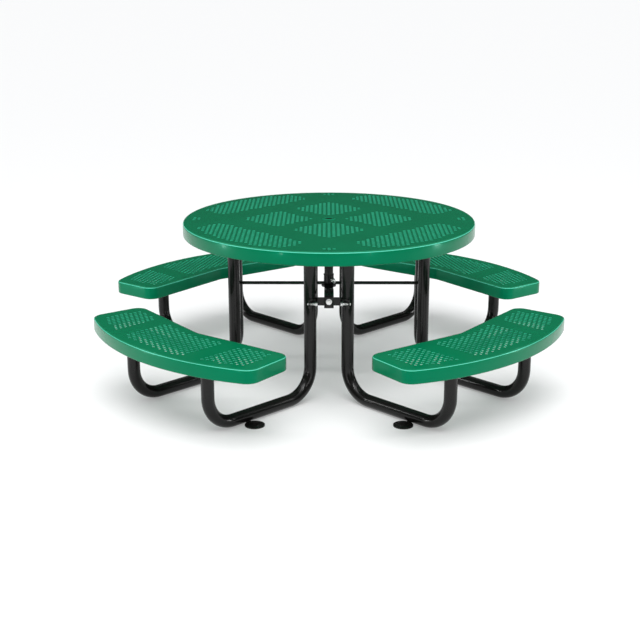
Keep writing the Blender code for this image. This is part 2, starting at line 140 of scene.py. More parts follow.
def noise(nodes, links, where, scale, detail=3.0, roughness=0.5, stretch=None):
    """A noise value over the object's own space, stretched along Z if asked."""
    if stretch is not None:
        mapping = nodes.new("ShaderNodeMapping")
        mapping.inputs["Scale"].default_value = stretch
        links.new(where, mapping.inputs["Vector"])
        where = mapping.outputs["Vector"]
    made = nodes.new("ShaderNodeTexNoise")
    made.inputs["Scale"].default_value = scale
    made.inputs["Detail"].default_value = detail
    made.inputs["Roughness"].default_value = roughness
    links.new(where, made.inputs["Vector"])
    return made.outputs["Fac"]


def spread(nodes, links, value, low, high, start=0.3, end=0.7):
    """Maps a noise value from start..end onto low..high."""
    made = nodes.new("ShaderNodeMapRange")
    made.inputs["From Min"].default_value = start
    made.inputs["From Max"].default_value = end
    made.inputs["To Min"].default_value = low
    made.inputs["To Max"].default_value = high
    links.new(value, made.inputs["Value"])
    return made.outputs["Result"]


def blend_colours(nodes, links, factor, first, second):
    made = nodes.new("ShaderNodeMix")
    made.data_type = "RGBA"
    for socket, colour in ((made.inputs[6], first), (made.inputs[7], second)):
        if isinstance(colour, tuple):
            socket.default_value = (*colour, 1)
        else:
            links.new(colour, socket)
    links.new(factor, made.inputs[0])
    return made.outputs[2]


def bump(nodes, links, height, strength, distance, before=None):
    made = nodes.new("ShaderNodeBump")
    made.inputs["Strength"].default_value = strength
    made.inputs["Distance"].default_value = distance
    links.new(height, made.inputs["Height"])
    if before is not None:
        links.new(before, made.inputs["Normal"])
    return made.outputs["Normal"]


def edge_wear(nodes, links, low=0.52, high=0.60):
    """Bright along worn convex edges, from the surface's own curvature."""
    geometry = nodes.new("ShaderNodeNewGeometry")
    return spread(nodes, links, geometry.outputs["Pointiness"], 0.0, 1.0, low, high)


def green_finish(name, base, deep, edge):
    """Thick glossy thermoplastic dip coat: soft orange peel, faint mottling, brighter edges."""
    made, nodes, links, shader, where = new_material(name)
    broad = noise(nodes, links, where, 5.0, 4.0)
    fine = noise(nodes, links, where, 190.0, 2.0)
    mottled = blend_colours(nodes, links, spread(nodes, links, broad, 0.0, 1.0), deep, base)
    worn = edge_wear(nodes, links)
    links.new(blend_colours(nodes, links, worn, mottled, edge), shader.inputs["Base Color"])
    smudge = noise(nodes, links, where, 17.0, 5.0, 0.6)
    links.new(spread(nodes, links, smudge, 0.19, 0.27), shader.inputs["Roughness"])
    peel = bump(nodes, links, noise(nodes, links, where, 60.0, 1.0), 0.025, 0.0010)
    links.new(bump(nodes, links, fine, 0.03, 0.0003, peel), shader.inputs["Normal"])
    shader.inputs["IOR"].default_value = 1.50
    shader.inputs["Specular IOR Level"].default_value = 0.30
    shader.inputs["Specular Tint"].default_value = (0.02, 1.0, 0.70, 1)
    shader.inputs["Coat Weight"].default_value = 0.06
    shader.inputs["Coat Roughness"].default_value = 0.06
    shader.inputs["Coat IOR"].default_value = 1.50
    return made


def black_finish():
    """Glossy black powder coat over tube and plate, with a faint grain and paler edges."""
    made, nodes, links, shader, where = new_material("black_powder_coat")
    broad = noise(nodes, links, where, 9.0, 4.0)
    base = blend_colours(nodes, links, spread(nodes, links, broad, 0.0, 1.0), BLACK_DEEP, BLACK)
    worn = edge_wear(nodes, links, 0.53, 0.62)
    links.new(blend_colours(nodes, links, worn, base, BLACK_EDGE), shader.inputs["Base Color"])
    smudge = noise(nodes, links, where, 25.0, 3.0)
    links.new(spread(nodes, links, smudge, 0.11, 0.16), shader.inputs["Roughness"])
    peel = bump(nodes, links, noise(nodes, links, where, 90.0, 1.0), 0.04, 0.0008)
    grain = noise(nodes, links, where, 420.0, 2.0)
    links.new(bump(nodes, links, grain, 0.04, 0.0002, peel), shader.inputs["Normal"])
    shader.inputs["Specular IOR Level"].default_value = 0.20
    shader.inputs["Coat Weight"].default_value = 0.10
    shader.inputs["Coat Roughness"].default_value = 0.08
    return made


def zinc_finish():
    """Bright zinc plate: slightly blotchy, faintly blue, with fine turning marks."""
    made, nodes, links, shader, where = new_material("bright_zinc_plate")
    blotch = noise(nodes, links, where, 160.0, 5.0, 0.65)
    tint = blend_colours(nodes, links, spread(nodes, links, blotch, 0.0, 1.0), ZINC_WARM, ZINC)
    links.new(tint, shader.inputs["Base Color"])
    dull = noise(nodes, links, where, 320.0, 4.0)
    links.new(spread(nodes, links, dull, 0.20, 0.38), shader.inputs["Roughness"])
    marks = noise(nodes, links, where, 700.0, 2.0, 0.5, (1.0, 1.0, 5.0))
    links.new(bump(nodes, links, marks, 0.10, 0.0002), shader.inputs["Normal"])
    shader.inputs["Metallic"].default_value = 1.0
    shader.inputs["Anisotropic"].default_value = 0.3
    return made


def nylon_finish():
    """Dull black moulded nylon."""
    made, nodes, links, shader, where = new_material("black_nylon_tip")
    grain = noise(nodes, links, where, 500.0, 3.0)
    links.new(blend_colours(nodes, links, grain, NYLON_DEEP, NYLON), shader.inputs["Base Color"])
    links.new(spread(nodes, links, grain, 0.42, 0.58), shader.inputs["Roughness"])
    links.new(bump(nodes, links, grain, 0.15, 0.0002), shader.inputs["Normal"])
    return made


def floor_finish():
    """Plain pale paper that glows a little, so that shadows stay light."""
    made, _, _, shader, _ = new_material("studio_floor")
    shader.inputs["Base Color"].default_value = (0.66, 0.66, 0.66, 1)
    shader.inputs["Emission Color"].default_value = (1, 1, 1, 1)
    shader.inputs["Emission Strength"].default_value = 0.24
    shader.inputs["Roughness"].default_value = 0.75
    shader.inputs["Specular IOR Level"].default_value = 0.1
    return made


GREEN = (0.000, 0.158, 0.066)
GREEN_DEEP = (0.000, 0.145, 0.060)
GREEN_EDGE = (0.002, 0.220, 0.110)
# Paler greens for the hole walls: painted highlight standing in for lit walls, lip highlights and light seen
# through the holes
PAINTED_HIGHLIGHT_HOLE_BASE = (0.045, 0.430, 0.264)
PAINTED_HIGHLIGHT_HOLE_DEEP = (0.040, 0.395, 0.240)
PAINTED_HIGHLIGHT_HOLE_EDGE = (0.050, 0.460, 0.290)
# Paler greens for one strip of the fold: a painted highlight line along the rims
PAINTED_HIGHLIGHT_FOLD_BASE = (0.120, 0.600, 0.440)
PAINTED_HIGHLIGHT_FOLD_DEEP = (0.100, 0.540, 0.390)
BLACK = (0.0080, 0.0076, 0.0072)
BLACK_DEEP = (0.0060, 0.0058, 0.0055)
BLACK_EDGE = (0.022, 0.021, 0.020)
ZINC = (0.78, 0.79, 0.81)
ZINC_WARM = (0.66, 0.66, 0.63)
NYLON = (0.024, 0.024, 0.024)
NYLON_DEEP = (0.014, 0.014, 0.014)

FINISHES = {
    "green_coating": green_finish("green_thermoplastic", GREEN, GREEN_DEEP, GREEN_EDGE),
    # The hole walls get the same coat in paler greens, as painted highlight
    "hole walls painted highlight": green_finish("green_holes_painted_highlight", PAINTED_HIGHLIGHT_HOLE_BASE, PAINTED_HIGHLIGHT_HOLE_DEEP, PAINTED_HIGHLIGHT_HOLE_EDGE),
    # One strip of the fold gets the same coat in paler greens, as a painted highlight line
    "fold painted highlight": green_finish("green_fold_painted_highlight", PAINTED_HIGHLIGHT_FOLD_BASE, PAINTED_HIGHLIGHT_FOLD_DEEP, PAINTED_HIGHLIGHT_FOLD_BASE),
    "black_powder_coat": black_finish(),
    "bright_zinc": zinc_finish(),
    "black_nylon": nylon_finish(),
}


# ---------------------------------------------------------------- mesh helpers


def finish_piece(name, bm, slot, stands_for=(), body="table", angle=35):
    """Makes the object, gives it its finish, and lets it ride on its body."""
    bmesh.ops.recalc_face_normals(bm, faces=bm.faces)
    mesh = bpy.data.meshes.new(name)
    bm.to_mesh(mesh)
    bm.free()
    return finish_mesh(name, mesh, slot, stands_for, body, angle)


def finish_mesh(name, mesh, slot, stands_for=(), body="table", angle=35):
    if not mesh.materials:
        mesh.materials.append(FINISHES[slot])
    if angle:
        mesh.shade_smooth()
        mesh.set_sharp_from_angle(angle=radians(angle))
    obj = bpy.data.objects.new(name, mesh)
    bpy.context.scene.collection.objects.link(obj)
    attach(obj, body)
    if stands_for:
        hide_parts(*stands_for)
    return obj


def arc(centre, radius, start, end, steps):
    angles = [start + (end - start) * i / steps for i in range(steps + 1)]
    return [(centre[0] + radius * cos(a), centre[1] + radius * sin(a)) for a in angles]


def rounded(corners, steps):
    """A closed outline from (x, y, radius) corners, with each corner as an arc."""
    outline = []
    for i, (x, y, radius) in enumerate(corners):
        here = Vector((x, y))
        if radius == 0:
            outline.append((x, y))
            continue
        before = (Vector(corners[i - 1][:2]) - here).normalized()
        after = (Vector(corners[(i + 1) % len(corners)][:2]) - here).normalized()
        half = before.angle(after) / 2
        centre = here + (before + after).normalized() * radius / sin(half)
        first = here + before * radius / math.tan(half) - centre
        last = here + after * radius / math.tan(half) - centre
        start = math.atan2(first.y, first.x)
        sweep = (math.atan2(last.y, last.x) - start + pi) % (2 * pi) - pi
        outline += arc(centre, radius, start, start + sweep, steps)
    return outline


def spun(bm, profile, segments, matrix=Matrix(), closed=True):
    """A (radius, height) profile turned about Z. A radius of zero closes on the axis."""
    rings = []
    for r, z in profile:
        if r == 0:
            rings.append([bm.verts.new(matrix @ Vector((0, 0, z)))])
            continue
        angles = [2 * pi * i / segments for i in range(segments)]
        points = [Vector((r * cos(a), r * sin(a), z)) for a in angles]
        rings.append([bm.verts.new(matrix @ point) for point in points])
    pairs = list(zip(rings, rings[1:]))
    if closed and len(rings[0]) > 1 and len(rings[-1]) > 1:
        pairs.append((rings[-1], rings[0]))
    for low, high in pairs:
        for i in range(segments):
            if len(low) == 1:
                bm.faces.new((low[0], high[i], high[i - 1]))
            elif len(high) == 1:
                bm.faces.new((low[i - 1], low[i], high[0]))
            else:
                bm.faces.new((low[i - 1], low[i], high[i], high[i - 1]))


def swept(bm, path, radius, sides):
    """A round rod along a path, closed at both ends."""
    last = len(path) - 1
    rings = []
    up = None
    for i, point in enumerate(path):
        along = (path[min(i + 1, last)] - path[max(i - 1, 0)]).normalized()
        if up is None:
            up = along.orthogonal().normalized()
        side = along.cross(up).normalized()
        up = side.cross(along).normalized()
        angles = [2 * pi * k / sides for k in range(sides)]
        rings.append([bm.verts.new(point + side * cos(a) * radius + up * sin(a) * radius) for a in angles])
    for low, high in zip(rings, rings[1:]):
        for k in range(sides):
            bm.faces.new((low[k - 1], low[k], high[k], high[k - 1]))
    bm.faces.new(rings[0])
    bm.faces.new(rings[-1])


def torus(bm, centre, axis, ring_radius, rod_radius, segments=32, sides=10):
    matrix = Matrix.Translation(centre) @ Vector(axis).to_track_quat("Z", "Y").to_matrix().to_4x4()
    rod = arc((0, 0), rod_radius, 0, 2 * pi, sides)[:-1]
    spun(bm, [(ring_radius + x, z) for x, z in rod], segments, matrix)


def strip(bm, centre_line, thickness, place, bevel=0.0008):
    """A bent flat bar with slightly eased edges, given width by place(point, side)."""
    points = [Vector(p) for p in centre_line]
    last = len(points) - 1
    normals = []
    for i, point in enumerate(points):
        into = (point - points[i - 1]).normalized() if i else None
        out = (points[i + 1] - point).normalized() if i < last else None
        along = ((into or out) + (out or into)).normalized()
        normal = Vector((-along.y, along.x))
        square = normal.dot(Vector((-(out or into).y, (out or into).x)))
        normals.append(normal / max(square, 0.3))
    half = thickness / 2
    section = [(half - bevel, -1.0), (half, -0.93), (half, 0.93), (half - bevel, 1.0)]
    section += [(bevel - half, 1.0), (-half, 0.93), (-half, -0.93), (bevel - half, -1.0)]
    rings = []
    for point, normal in zip(points, normals):
        rings.append([bm.verts.new(place(point + normal * depth, side)) for depth, side in section])
    for low, high in zip(rings, rings[1:]):
        for i in range(len(section)):
            bm.faces.new((low[i - 1], low[i], high[i], high[i - 1]))
    bm.faces.new(rings[0])
    bm.faces.new(rings[-1])


# ---------------------------------------------------------------- perforated pans


def in_cell(x, y, middle, half, radius):
    """True inside a square cell with rounded corners."""
    qx = abs(x - middle[0]) - (half[0] - radius)
    qy = abs(y - middle[1]) - (half[1] - radius)
    outside = sqrt(max(qx, 0) ** 2 + max(qy, 0) ** 2)
    return outside + min(max(qx, qy), 0) < radius


def top_is_open(x, y):
    """True where the top has holes: four middle cells, four wide side cells, four small rim cells."""
    if x * x + y * y > TOP_OPEN_RADIUS**2:
        return False
    a = abs(x + y) / sqrt(2)
    b = abs(y - x) / sqrt(2)
    if in_cell(a, b, MIDDLE_CELL, MIDDLE_CELL_HALF, CELL_CORNER):
        return True
    if in_cell(a, b, (SIDE_CELL, 0.0), SIDE_CELL_HALF, CELL_CORNER):
        return True
    if in_cell(a, b, (0.0, SIDE_CELL), SIDE_CELL_HALF[::-1], CELL_CORNER):
        return True
    return a > RIM_CELL_START and b > RIM_CELL_START


def inside(point, outline):
    """True for a point inside a closed outline."""
    x, y = point
    hit = False
    for i in range(len(outline)):
        (ax, ay), (bx, by) = outline[i - 1], outline[i]
        if (ay > y) != (by > y) and x < (bx - ax) * (y - ay) / (by - ay) + ax:
            hit = not hit
    return hit


def lattice(low, high, is_open, along_x):
    """Hole centres between two corners. Columns run along X or along Y."""
    holes = []
    start, end = (low[1], high[1]) if along_x else (low[0], high[0])
    first, last = (low[0], high[0]) if along_x else (low[1], high[1])
    for column in range(math.ceil(start / COLUMN_STEP), math.floor(end / COLUMN_STEP) + 1):
        shift = 0.5 * (column % 2)
        for row in range(math.floor(first / HOLE_STEP), math.ceil(last / HOLE_STEP) + 1):
            c, r = column * COLUMN_STEP, (row + shift) * HOLE_STEP
            x, y = (r, c) if along_x else (c, r)
            if is_open(x, y):
                holes.append((x, y))
    return holes


def hole_ring(x, y, radius, count):
    return arc((x, y), radius, HOLE_TURN, HOLE_TURN + 2 * pi, count)[:-1]


def perforated_pan(outline_at, levels, holes, top, sides, centre_hole=None):
    """A folded pan. outline_at(inset) gives matched outlines, and levels are (inset, height)
    from the sheet's edge outside, down and back up to the sheet's edge inside."""
    edge = [Vector(p) for p in outline_at(levels[0][0])]
    plan = list(edge)
    constraints = [(i, (i + 1) % len(edge)) for i in range(len(edge))]
    loops = []
    rims = [(x, y, HOLE_RADIUS + HOLE_LIP, sides) for x, y in holes]
    if centre_hole:
        rims.append((0, 0, centre_hole, CENTRE_SIDES))
    for x, y, radius, count in rims:
        start = len(plan)
        plan += [Vector(p) for p in hole_ring(x, y, radius, count)]
        loops.append((start, count, x, y))
        constraints += [(start + k, start + (k + 1) % count) for k in range(count)]
    owner = [-1] * len(plan)
    for number, (start, count, _, _) in enumerate(loops):
        owner[start : start + count] = [number] * count
    _, _, faces, origins, _, _ = delaunay_2d_cdt(plan, constraints, [], 1, 1e-7)
    kept = []
    old = [o[0] if o else 0 for o in origins]
    for face in faces:
        owners = {owner[old[v]] for v in face}
        if len(owners) == 1 and owners != {-1}:
            continue
        kept.append([old[v] for v in face])
    verts, quads = [], []
    for height in (top, top - SHEET):
        verts += [(p.x, p.y, height) for p in plan]
    size = len(plan)
    flat = kept + [[v + size for v in face[::-1]] for face in kept]
    for start, count, x, y in loops:
        wall = HOLE_RADIUS + 0.00015
        if count == CENTRE_SIDES:
            wall = centre_hole - 0.0008
        base = len(verts)
        soft = wall + 0.0004
        steps = [(soft, 0.0003), (wall, 0.0011), (wall, SHEET - 0.0011), (soft, SHEET - 0.0003)]
        for radius, depth in steps:
            verts += [(px, py, top - depth) for px, py in hole_ring(x, y, radius, count)]
        for k in range(count):
            n = (k + 1) % count
            ladder = [(start + k, start + n)]
            ladder += [(base + j * count + k, base + j * count + n) for j in range(4)]
            ladder.append((size + start + k, size + start + n))
            for (a, b), (c, d) in zip(ladder, ladder[1:]):
                quads.append((b, a, c, d))
    walls = len(quads)
    ring = list(range(len(edge)))
    for inset, height in levels[1:-1]:
        base = len(verts)
        verts += [(x, y, height) for x, y in outline_at(inset)]
        following = list(range(base, base + len(edge)))
        quads += [(ring[i - 1], following[i - 1], following[i], ring[i]) for i in range(len(edge))]
        ring = following
    closing = list(range(size, size + len(edge)))
    quads += [(ring[i - 1], closing[i - 1], closing[i], ring[i]) for i in range(len(edge))]
    return verts, flat, quads, walls, len(edge)


def pan_levels(top, apron, corner):
    """Levels of a rim: rounded shoulder, apron, rolled foot, lip and the way back up."""
    quarter = [radians(90) * i / FOLD_STEPS for i in range(FOLD_STEPS + 1)]
    foot = 0.004
    low = top - apron
    levels = [(corner * (1 - sin(a)), top - corner * (1 - cos(a))) for a in quarter]
    levels += [(foot * (1 - cos(a)), low + foot * (1 - sin(a))) for a in quarter]
    levels += [(LIP - 0.001, low), (LIP, low + 0.001), (LIP, low + SHEET - 0.001), (LIP - 0.001, low + SHEET)]
    levels += [(SHEET + 0.001, low + SHEET), (SHEET, low + SHEET + 0.001)]
    small = corner - SHEET
    levels += [(corner - small * cos(a), top - corner + small * sin(a)) for a in quarter]
    levels[0] = (corner, top)
    levels[-1] = (corner, top - SHEET)
    return levels


def pan_mesh(name, parts, degrees):
    """The pan turned to its place, with painted highlight as paler green on the hole walls and on one strip
    of the fold.
    """
    verts, flat, quads, walls, around = parts
    c, s = cos(radians(degrees)), sin(radians(degrees))
    mesh = bpy.data.meshes.new(name)
    placed = [(c * x - s * y, s * x + c * y, z) for x, y, z in verts]
    mesh.from_pydata(placed, [], flat + quads)
    smooth = [False] * len(flat) + [True] * len(quads)
    mesh.polygons.foreach_set("use_smooth", smooth)
    mesh.materials.append(FINISHES["green_coating"])
    mesh.materials.append(FINISHES["hole walls painted highlight"])
    mesh.materials.append(FINISHES["fold painted highlight"])
    # Hole walls take the paler greens of the painted highlight
    finishes = [0] * len(flat) + [1] * walls
    # The chosen fold strips take the paler greens of the painted highlight line
    for band in range((len(quads) - walls) // around):
        finishes += [2 if band in PAINTED_HIGHLIGHT_STRIPS else 0] * around
    mesh.polygons.foreach_set("material_index", finishes)
    mesh.update()
    return mesh


def seat_outline(inset, steps=28, corner_steps=10):
    """Plan outline of a seat that faces +X, moved in from its edge by inset."""
    along = Vector((-sin(SEAT_BEND), cos(SEAT_BEND)))
    across = Vector((cos(SEAT_BEND), sin(SEAT_BEND)))
    inner = SEAT_INNER + inset / cos(SEAT_BEND)
    outer = SEAT_OUTER - inset
    corner = Vector((inner, 0)) + along * (SEAT_HALF_EDGE - inset - inset * math.tan(SEAT_BEND))
    reach = -corner.dot(across) + sqrt(corner.dot(across) ** 2 - corner.length_squared + outer**2)
    tip = corner + across * reach
    tip_angle = math.atan2(tip.y, tip.x)
    half = [(corner.x, corner.y, SEAT_CORNERS[1] - inset), (tip.x, tip.y, SEAT_CORNERS[2] - inset)]
    rim_angles = [tip_angle * (1 - 2 * i / steps) for i in range(2, steps - 1)]
    rim = [(outer * cos(a), outer * sin(a), 0) for a in rim_angles]
    mirrored = [(x, -y, r) for x, y, r in half[::-1]]
    return rounded([(inner, 0, SEAT_CORNERS[0] + inset), *half, *rim, *mirrored], corner_steps)


def build_top():
    sides = 12

    def circle(inset):
        return arc((0, 0), TOP_RADIUS - inset, 0, 2 * pi, 192)[:-1]

    holes = lattice((-TOP_RADIUS, -TOP_RADIUS), (TOP_RADIUS, TOP_RADIUS), top_is_open, False)
    levels = pan_levels(TOP_HEIGHT, TOP_APRON, EDGE_RADIUS)
    hole = UMBRELLA_TUBE_RADIUS + 0.0011
    parts = perforated_pan(circle, levels, holes, TOP_HEIGHT, sides, hole)
    mesh = pan_mesh("perforated_top", parts, 0)
    finish_mesh("perforated_top", mesh, "green_coating", ["tabletop"], angle=0)


def build_seats():
    sides = 12
    border = seat_outline(SEAT_BORDER)

    def seat_is_open(x, y):
        if SEAT_BAND[0] < abs(y) < SEAT_BAND[1]:
            return False
        return inside((x, y), border)

    holes = lattice((0.6, -0.5), (1.0, 0.5), seat_is_open, True)
    levels = pan_levels(SEAT_HEIGHT, SEAT_APRON, SEAT_EDGE_RADIUS)
    parts = perforated_pan(seat_outline, levels, holes, SEAT_HEIGHT, sides)
    for name, degrees in SEATS.items():
        mesh = pan_mesh(f"perforated_seat_{name}", parts, degrees)
        finish_mesh(f"perforated_seat_{name}", mesh, "green_coating", [f"seat_{name}"], angle=0)


# ---------------------------------------------------------------- frame


def leg_path(side):
    """Centre line of one tube for a seat that faces +X."""
    top_end = TOP_HEIGHT - SHEET - PLATE - 3 * GAP
    seat_end = SEAT_HEIGHT - SHEET - PLATE - 3 * GAP
    low = TUBE_RADIUS
    section = [(INNER, top_end), (INNER, 0.45), (INNER, 0.30)]
    section += arc((INNER + BEND_RADIUS, low + BEND_RADIUS), BEND_RADIUS, pi, 1.5 * pi, 16)
    section += arc((OUTER - BEND_RADIUS, low + BEND_RADIUS), BEND_RADIUS, 1.5 * pi, 2 * pi, 16)
    section.append((OUTER, seat_end))
    return [Vector((d, side * ACROSS, z)) for d, z in section]


def build_legs():
    for name, degrees in SEATS.items():
        turn = Matrix.Rotation(radians(degrees), 3, "Z")
        for hand, side in (("a", -1), ("b", 1)):
            bm = bmesh.new()
            swept(bm, [turn @ p for p in leg_path(side)], TUBE_RADIUS, 40)
            finish_piece(f"bent_tube_{name}_{hand}", bm, "black_powder_coat", [f"leg_{name}_{hand}"])
            build_foot(name, hand, side, turn)
            build_leg_welds(name, hand, side, turn)


def build_leg_welds(name, hand, side, turn):
    """Weld beads where a tube's two ends meet the plates under the top and the seat."""
    bm = bmesh.new()
    under_top = TOP_HEIGHT - SHEET - PLATE - 2 * GAP - 0.0012
    under_seat = SEAT_HEIGHT - SHEET - PLATE - 2 * GAP - 0.0012
    for d, z in ((INNER, under_top), (OUTER, under_seat)):
        bead(bm, turn @ Vector((d, side * ACROSS, z)), TUBE_RADIUS + 0.0004, 0.0022)
    finish_piece(f"tube_welds_{name}_{hand}", bm, "black_powder_coat")


def bead(bm, centre, radius, rod):
    """A rippled ring of weld round an upright tube."""
    segments, sides = 72, 8
    rings = []
    for i in range(segments):
        a = 2 * pi * i / segments
        swell = rod * (1 + 0.16 * sin(a * 24) + 0.06 * sin(a * 7))
        out = Vector((cos(a), sin(a), 0))
        ring = []
        for k in range(sides):
            t = 2 * pi * k / sides
            ring.append(centre + out * (radius + swell * cos(t)) + Vector((0, 0, min(swell * sin(t), 0.001))))
        rings.append([bm.verts.new(p) for p in ring])
    for i in range(segments):
        for k in range(sides):
            bm.faces.new((rings[i - 1][k - 1], rings[i - 1][k], rings[i][k], rings[i][k - 1]))


def build_foot(name, hand, side, turn):
    """A round anchor plate with eased rims, a hole off its middle and a weld along the tube."""
    flank = sqrt(TUBE_RADIUS**2 - (TUBE_RADIUS - FOOT_THICKNESS) ** 2) + GAP
    d = INNER + FOOT_ALONG
    lateral = ACROSS + flank + FOOT_RADIUS
    hole = (d + FOOT_HOLE_ALONG, side * (lateral + FOOT_HOLE_OUT))
    middle = (d, side * lateral)
    t = FOOT_THICKNESS
    levels = [(middle, FOOT_RADIUS, 0.0), (middle, FOOT_RADIUS, t - 0.0012)]
    levels += [(middle, FOOT_RADIUS - 0.0004, t - 0.0004), (middle, FOOT_RADIUS - 0.0014, t)]
    levels += [(hole, FOOT_HOLE + 0.0008, t)]
    levels += [(hole, FOOT_HOLE, t - 0.0008), (hole, FOOT_HOLE, 0.0)]
    bm = bmesh.new()
    segments = 64
    rings = []
    for centre, radius, z in levels:
        points = arc(centre, radius, 0, 2 * pi, segments)[:-1]
        rings.append([bm.verts.new(turn @ Vector((x, y, z))) for x, y in points])
    for low, high in zip(rings, rings[1:] + rings[:1]):
        for i in range(segments):
            bm.faces.new((low[i - 1], low[i], high[i], high[i - 1]))
    finish_piece(f"anchor_plate_{name}_{hand}", bm, "black_powder_coat", [f"foot_plate_{name}_{hand}"])
    bm = bmesh.new()
    path = []
    ripples = 16
    for i in range(ripples + 1):
        x = -0.011 + 0.022 * i / ripples
        y = ACROSS + flank + 0.0006 + 0.0006 * (i % 2)
        rise = t + 0.0008 + 0.0003 * (i % 2)
        path.append(turn @ Vector((d + x, side * y, rise)))
    swept(bm, path, 0.0021, 8)
    finish_piece(f"anchor_weld_{name}_{hand}", bm, "black_powder_coat")


def bar_middle(degrees):
    """Height of the middle of the flat bar on one side of the table."""
    return FRONT_BAR_MIDDLE if degrees in (-90, 90) else SIDE_BAR_MIDDLE


def pinch_out():
    """How far outside the tubes' centres the pinch bolts of a wrapped bar sit."""
    return TUBE_RADIUS + BAR_THICKNESS + GAP + 0.0095


def build_pair_bars():
    """The flat bars between the front and rear pairs, wrapped round each tube's outer face."""
    radius = TUBE_RADIUS + GAP + BAR_THICKNESS / 2
    wing = arc((0, 0), radius, math.asin(-0.12), pi / 2, 20)
    for name, degrees in (("front", -90), ("rear", 90)):
        ear = (pinch_out() + 0.008, wing[0][1])
        half = [(PAIR_DISTANCE + x, -PAIR_HALF_GAP + y) for x, y in [ear, *wing]]
        line = half + [(x, -y) for x, y in half[::-1]]
        middle = bar_middle(degrees)
        turn = Matrix.Rotation(radians(degrees), 3, "Z")
        bm = bmesh.new()
        rise = BAR_HEIGHT / 2
        strip(bm, line, BAR_THICKNESS, lambda p, side: turn @ Vector((p.x, p.y, middle + side * rise)))
        finish_piece(f"wrapped_bar_{name}", bm, "black_powder_coat", [f"pair_bar_{name}"])


def brace_line(front):
    """Half of a strap from the hub out, as (distance, height), with the tab turned down."""
    half = STRAP_THICKNESS / 2
    tab = PAIR_DISTANCE + BAR_THICKNESS / 2 + GAP + half
    bend = 0.006
    if not front:
        level = SIDE_STRAP_TOP - half
        turn = arc((tab - bend, level - bend), bend, pi / 2, 0, 8)
        return [(0, level), *turn, (tab, SIDE_BAR_MIDDLE - 0.020)]
    level = SIDE_STRAP_TOP - STRAP_THICKNESS - GAP - half
    high = FRONT_BAR_MIDDLE + BAR_HEIGHT / 2 + 0.003 + half
    turn = arc((tab - bend, high - bend), bend, pi / 2, 0, 8)
    return [(0, level), (0.075, level), (0.30, high), *turn, (tab, FRONT_BAR_MIDDLE - 0.025)]


def build_braces():
    edge = STRAP_WIDTH / 2
    for name, degrees, front in (("left_right", 0, False), ("front_rear", 90, True)):
        half = brace_line(front)
        line = [(-d, z) for d, z in half[:0:-1]] + half
        turn = Matrix.Rotation(radians(degrees), 3, "Z")
        bm = bmesh.new()
        strip(bm, line, STRAP_THICKNESS, lambda p, side: turn @ Vector((p.x, side * edge, p.y)))
        finish_piece(f"strap_{name}", bm, "black_powder_coat", [f"brace_{name}"])


def hex_bolt(name, head_at, axis, length, node, size=0.0085, washer=0.0115, nut_at=None):
    """A hex bolt: chamfered head, washer, thread ridges near its end, and a nut if asked."""
    direction = Vector(axis).normalized()
    matrix = Matrix.Translation(head_at) @ direction.to_track_quat("Z", "Y").to_matrix().to_4x4()
    bm = bmesh.new()
    hexagon(bm, matrix, -0.0080, -0.0019, size)
    spun(bm, [(0, -0.0018), (washer - 0.0004, -0.0018), (washer, -0.0014), (washer, 0), (0, 0)], 32, matrix)
    shank = [(0, 0), (BOLT_RADIUS, 0)]
    ridges = int(max(length - 0.006, 0) / 0.0015)
    for i in range(ridges):
        z = length - 0.0005 - (ridges - i) * 0.0015
        shank += [(BOLT_RADIUS, z), (BOLT_RADIUS - 0.0006, z + 0.00075)]
    shank += [(BOLT_RADIUS - 0.0005, length), (0, length)]
    spun(bm, shank, 20, matrix)
    if nut_at is not None:
        hexagon(bm, matrix, nut_at, nut_at + 0.0065, size)
    return finish_piece(name, bm, "bright_zinc", [node], angle=30)


def hexagon(bm, matrix, low, high, size):
    """A solid hexagon with its corners eased at both ends."""
    ease = 0.0007
    outer = size * 1.02
    rings = []
    for z, r in ((low, outer * 0.90), (low + ease, outer), (high - ease, outer), (high, outer * 0.90)):
        angles = [pi / 3 * k + pi / 6 for k in range(6)]
        rings.append([bm.verts.new(matrix @ Vector((r * cos(a), r * sin(a), z))) for a in angles])
    for a, b in zip(rings, rings[1:]):
        for k in range(6):
            bm.faces.new((a[k - 1], a[k], b[k], b[k - 1]))
    bm.faces.new(rings[0])
    bm.faces.new(rings[-1])


def build_bolts():
    for name, degrees in SIDES.items():
        turn = Matrix.Rotation(radians(degrees), 3, "Z")
        middle = bar_middle(degrees)
        face = turn @ Vector((PAIR_DISTANCE + BAR_THICKNESS / 2 + STRAP_THICKNESS + 3 * GAP, 0, middle))
        inward = turn @ Vector((-1, 0, 0))
        hex_bolt(f"hex_brace_bolt_{name}", face, inward, 0.022, f"brace_bolt_{name}", nut_at=0.0128)
        out = PAIR_DISTANCE + pinch_out()
        for hand, sign in (("a", -1), ("b", 1)) if degrees in (-90, 90) else ():
            head_at = turn @ Vector((out, sign * (PAIR_HALF_GAP - 0.020), middle))
            node = f"pinch_bolt_{name}_{hand}"
            hex_bolt(f"hex_{node}", head_at, turn @ Vector((0, sign, 0)), 0.030, node, 0.0078, 0.0085)
        at = turn @ Vector((PAIR_DISTANCE, 0, TOP_HEIGHT - SHEET - PLATE - 2 * GAP))
        hex_bolt(f"hex_top_bolt_{name}", at, (0, 0, 1), PLATE, f"top_bolt_{name}")
    for name, degrees in SEATS.items():
        turn = Matrix.Rotation(radians(degrees), 3, "Z")
        at = turn @ Vector((OUTER, 0, SEAT_HEIGHT - SHEET - PLATE - 2 * GAP))
        hex_bolt(f"hex_seat_bolt_{name}", at, (0, 0, 1), PLATE, f"seat_bolt_{name}")


def along_screw(out):
    """Turns +Z outward along the clamp screw, from a point that far from the table's axis."""
    return SCREW_SIDE @ Matrix.Translation((out, 0, SCREW_HEIGHT)) @ Matrix.Rotation(pi / 2, 4, "Y")


